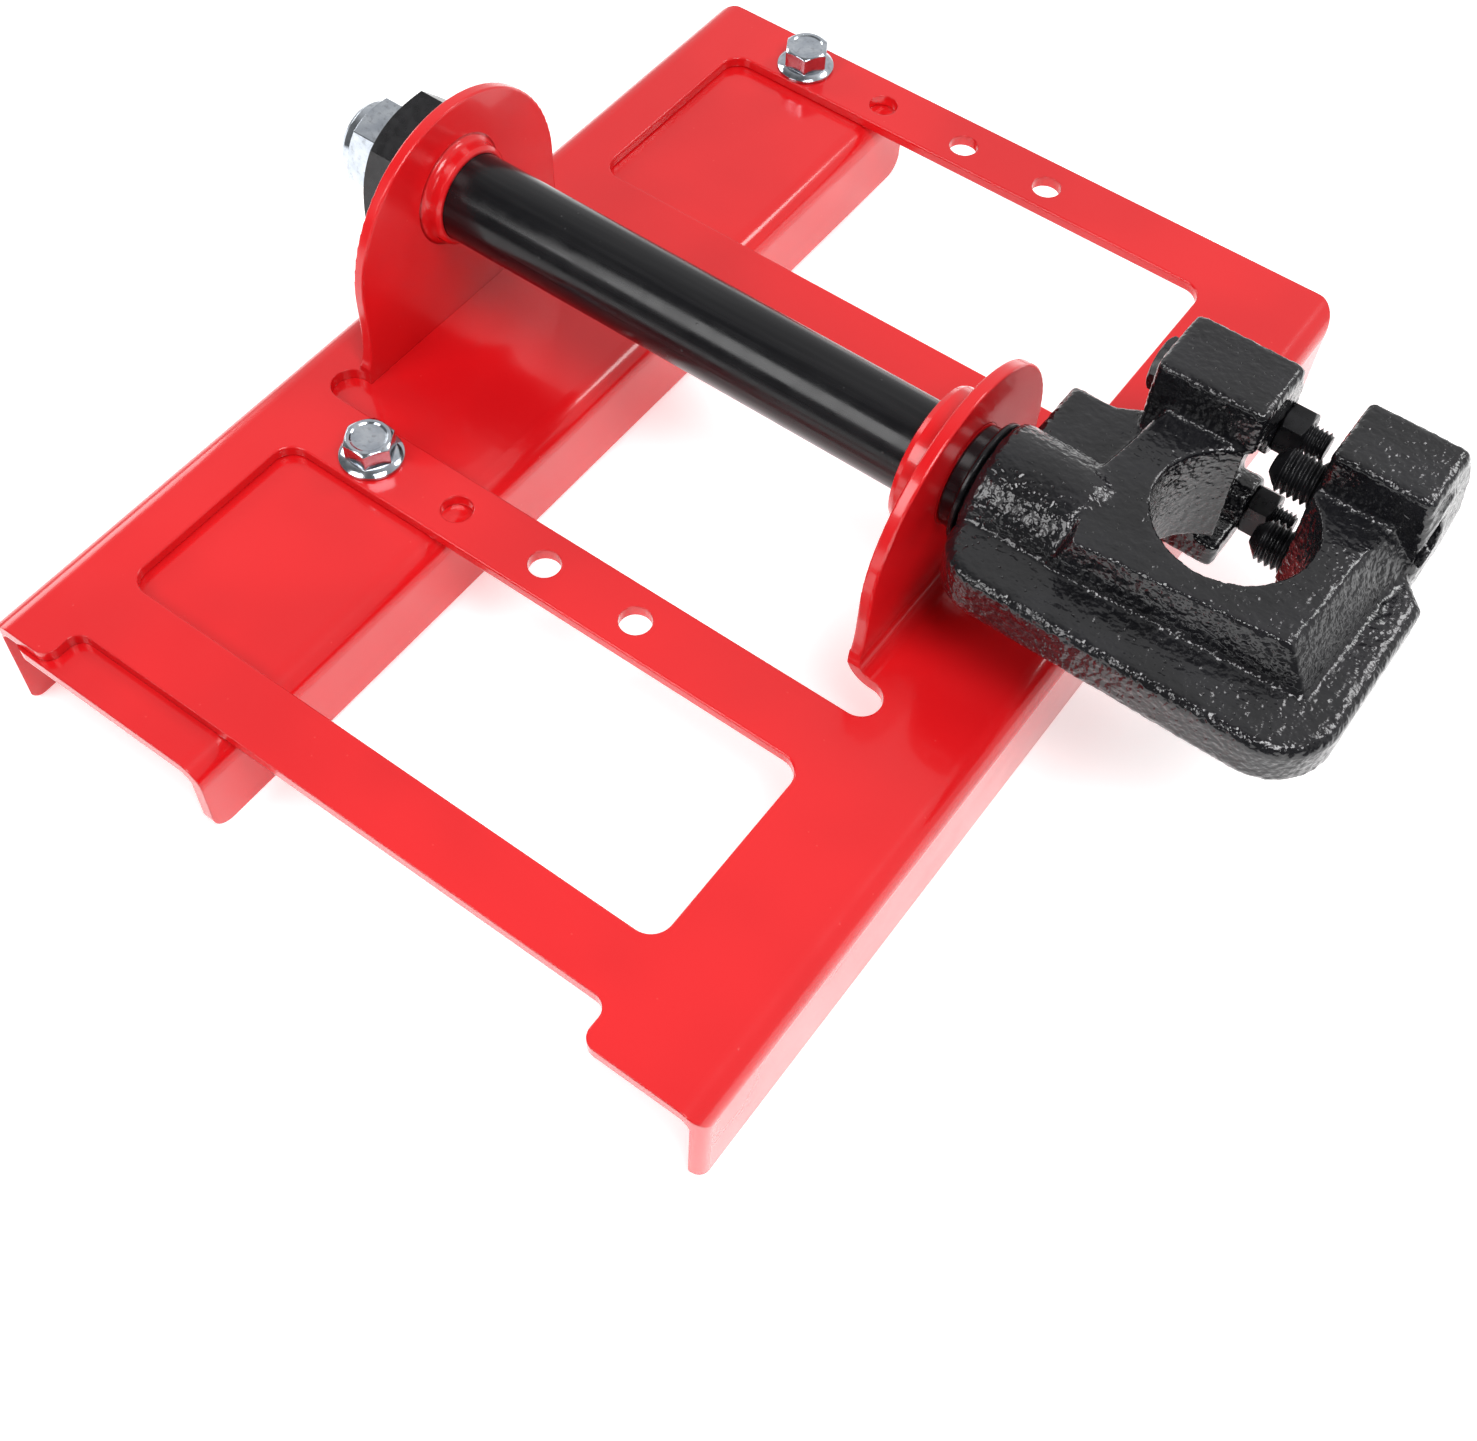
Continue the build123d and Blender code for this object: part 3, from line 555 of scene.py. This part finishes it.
def pivot_shaft(material):
    """Shaft with the threaded stud at its left end and the shoulder before the hub."""
    low, high = node_box("pivot_shaft")
    journal = -109.8 * MM
    shoulder = (72.3 * MM, 76.5 * MM)
    edge = 0.4 * MM
    rows = [(low.x, 0)]
    rows += thread_rows(8 * MM, M16_PITCH, low.x, journal, 6.8 * MM, 8 * MM)
    rows += [(journal, SHAFT_R - 1 * MM), (journal + 1 * MM, SHAFT_R), (shoulder[0], SHAFT_R)]
    rows += [(shoulder[0], SHOULDER_R - edge), (shoulder[0] + edge, SHOULDER_R)]
    rows += [(shoulder[1] - edge, SHOULDER_R), (shoulder[1], SHOULDER_R - edge)]
    rows += [(shoulder[1], SHAFT_R)]
    rows += [(high.x - 1 * MM, SHAFT_R), (high.x, SHAFT_R - 1 * MM), (high.x, 0)]
    solid = dict(rows=rows, segments=ROUND_SEGMENTS, centre=AXIS, axis="x")
    build("shaft", "pivot_shaft", material, [solid])


def left_bush(material):
    """Welded bush: its collar runs out into the ear in a hollow curve."""
    low, high = node_box("left_bush")
    bore = SHAFT_R + 0.05 * MM
    ear = low.x + 3.5 * MM
    foot = (high.y - low.y) / 2
    rows = [(low.x, bore), (low.x, BUSH_R), (ear, BUSH_R)]
    for k in range(9):
        turn = math.radians(90 * k / 8)
        along = ear + 2.6 * MM * (1 - math.cos(turn))
        rows.append((along, foot + 1.9 * MM * (1 - math.sin(turn)) - 0.5 * MM))
    rows += [(high.x - 0.8 * MM, foot - 0.6 * MM), (high.x, foot - 1.4 * MM), (high.x, bore)]
    solid = dict(rows=rows, segments=ROUND_SEGMENTS, centre=AXIS, axis="x", closed=True)
    build("left_bush_welded", "left_bush", material, [solid])


# ---------------------------------------------------------------- casting

VOXEL = 0.62 * MM

# Machined bores of the casting: reach along X, y, z and radius, in millimetres
CAST_BORES = (
    ((78.6, 105.5), 6.0, 73.0, 12.55),
    ((99.5, 129.5), 59.5, 82.6, 4.05),
    ((99.5, 129.5), 59.5, 51.0, 4.05),
    ((146.0, 182.0), 46.5, 83.6, 6.05),
    ((146.0, 182.0), 46.5, 57.6, 6.05),
)


def pull_to_bores(point):
    """Keep the machined bores true after the surface has been softened."""
    for (start, end), y, z, radius in CAST_BORES:
        if start * MM - VOXEL < point.x < end * MM + VOXEL:
            out = Vector((point.y - y * MM, point.z - z * MM))
            if out.length < (radius + 0.7) * MM and out.length > 0:
                out *= radius * MM / out.length
                return Vector((point.x, y * MM + out.x, z * MM + out.y))
    return None


def cast_clamp(material):
    """Casting skin: the CAD body softened all over and pebbled, its flat tops finer."""
    node = frame["nodes"]["clamp_body"]
    low, high = node_box("clamp_body")
    mesh = node.data.copy()
    mesh.transform(node.matrix_world)
    skin = bpy.data.objects.new("cast_skin", mesh)
    bpy.context.scene.collection.objects.link(skin)
    remesh = skin.modifiers.new("even", "REMESH")
    remesh.mode = "VOXEL"
    remesh.voxel_size = VOXEL
    soften = skin.modifiers.new("soften", "SMOOTH")
    soften.factor = 0.5
    soften.iterations = 6
    shown = skin.evaluated_get(bpy.context.evaluated_depsgraph_get())
    bm = bmesh.new()
    bm.from_mesh(shown.to_mesh())
    bpy.data.objects.remove(skin)
    bm.normal_update()
    moves = []
    for vert in bm.verts:
        bored = pull_to_bores(vert.co)
        if bored is not None:
            moves.append(bored)
            continue
        normal = vert.normal
        top = max(0.0, min(1.0, (abs(normal.z) - 0.9) / 0.08))
        coarse = noise.noise(vert.co / (1.7 * MM)) + 0.6 * noise.noise(vert.co / (0.9 * MM))
        swell = noise.noise(vert.co / (9 * MM))
        depth = (0.17 - 0.06 * top) * coarse + 0.12 * swell - 0.02
        moves.append(vert.co + normal * depth * MM)
    for vert, place in zip(bm.verts, moves):
        vert.co = [min(max(place[k], low[k]), high[k]) for k in range(3)]
    piece = new_object("cast_clamp", bm, material)
    stand_for(piece, "clamp_body")


# ---------------------------------------------------------------- the scene

MATERIALS = {
    "red_powder_coat": red_powder_coat,
    "black_cast_paint": black_cast_paint,
    "black_shaft": black_shaft,
    "black_oxide": black_oxide,
    "zinc_plate": zinc_plate,
    "nylon": nylon,
}


def dress_nodes(materials):
    """Give every CAD node the material of its slot."""
    for entry in frame["record"]["subparts"]:
        node = frame["nodes"][entry["node"]]
        node.data.materials.clear()
        node.data.materials.append(materials[entry["material_slot"]])


def add_floor(material):
    """Large plain floor that the flanges stand on."""
    bm = bmesh.new()
    bmesh.ops.create_grid(bm, x_segments=2, y_segments=2, size=3.0)
    floor = new_object("floor", bm, material)


materials = {name: make() for name, make in MATERIALS.items()}
bpy.context.scene.view_settings.view_transform = "Standard"
add_camera()
add_floor(studio_floor())
add_world(WORLD_STRENGTH)
for light in LIGHTS:
    add_area_light(*light)
dress_nodes(materials)
for place in ("upper", "lower"):
    clamp_bolt(place, materials["black_oxide"])
    clamp_jam_nut(place, materials["black_oxide"])
    set_screw(place, materials["black_oxide"])
for place in ("front", "rear"):
    width_bolt(place, materials["zinc_plate"])
    width_nut(place, materials["zinc_plate"])
pivot_shaft(materials["black_shaft"])
left_bush(materials["red_powder_coat"])
cast_clamp(materials["black_cast_paint"])
